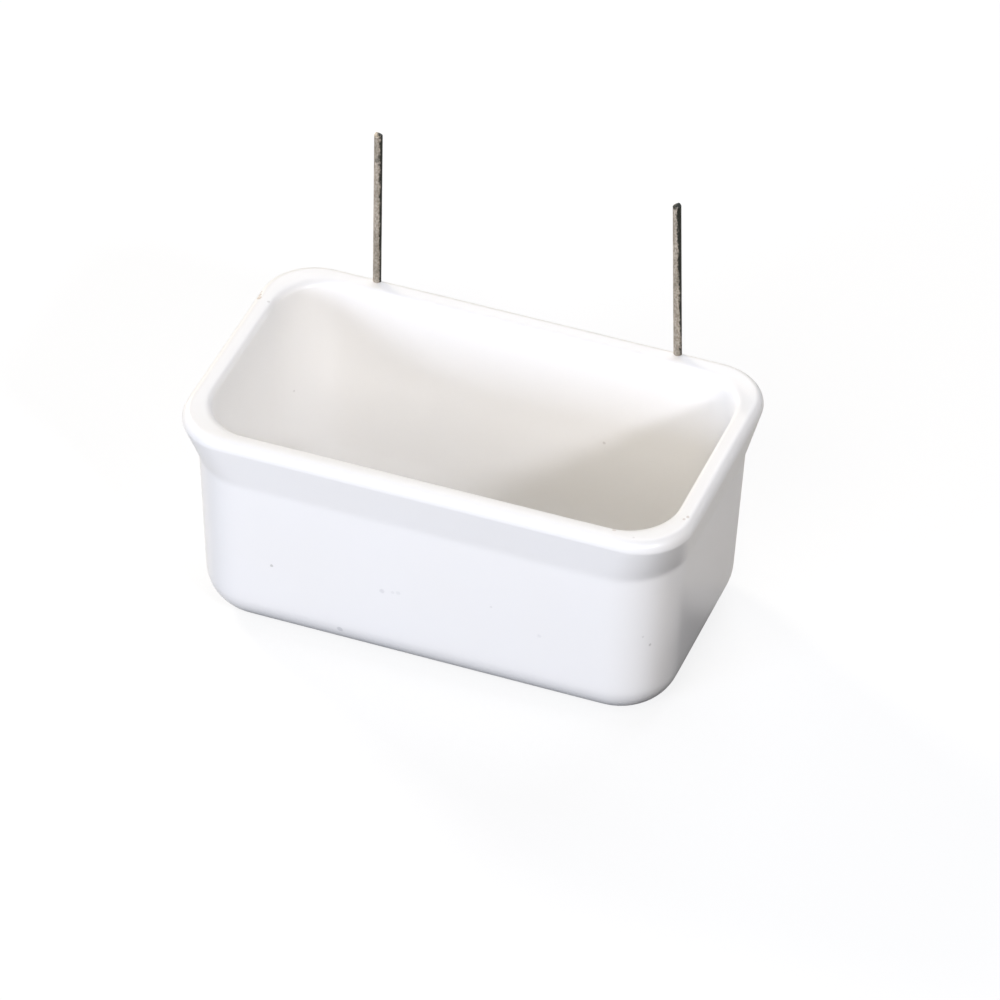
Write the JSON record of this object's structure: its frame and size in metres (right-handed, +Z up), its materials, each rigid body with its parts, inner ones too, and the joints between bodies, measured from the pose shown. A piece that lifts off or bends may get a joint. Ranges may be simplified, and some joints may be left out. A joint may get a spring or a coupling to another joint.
{
  "type": "seed cup",
  "caption": "Rectangular moulded seed cup with rounded corners, a rolled rim and flared collar, hung on a cage by straight wire prongs that stand up from its back rim.",
  "frame": {"origin": "middle of the flat base, on the surface that the cup stands on", "axes": "+X to the right along the long side, +Y to the back where the prongs and the cage are, +Z up"},
  "size_m": [0.0996, 0.0582, 0.0797],
  "materials": {
    "white_plastic": "glossy moulded white with fine scuffs",
    "prong_wire": "dull weathered drawn wire"
  },
  "bodies": {
    "root": {"cup": "white_plastic", "left_prong": "prong_wire", "right_prong": "prong_wire"}
  },
  "joints": []
}
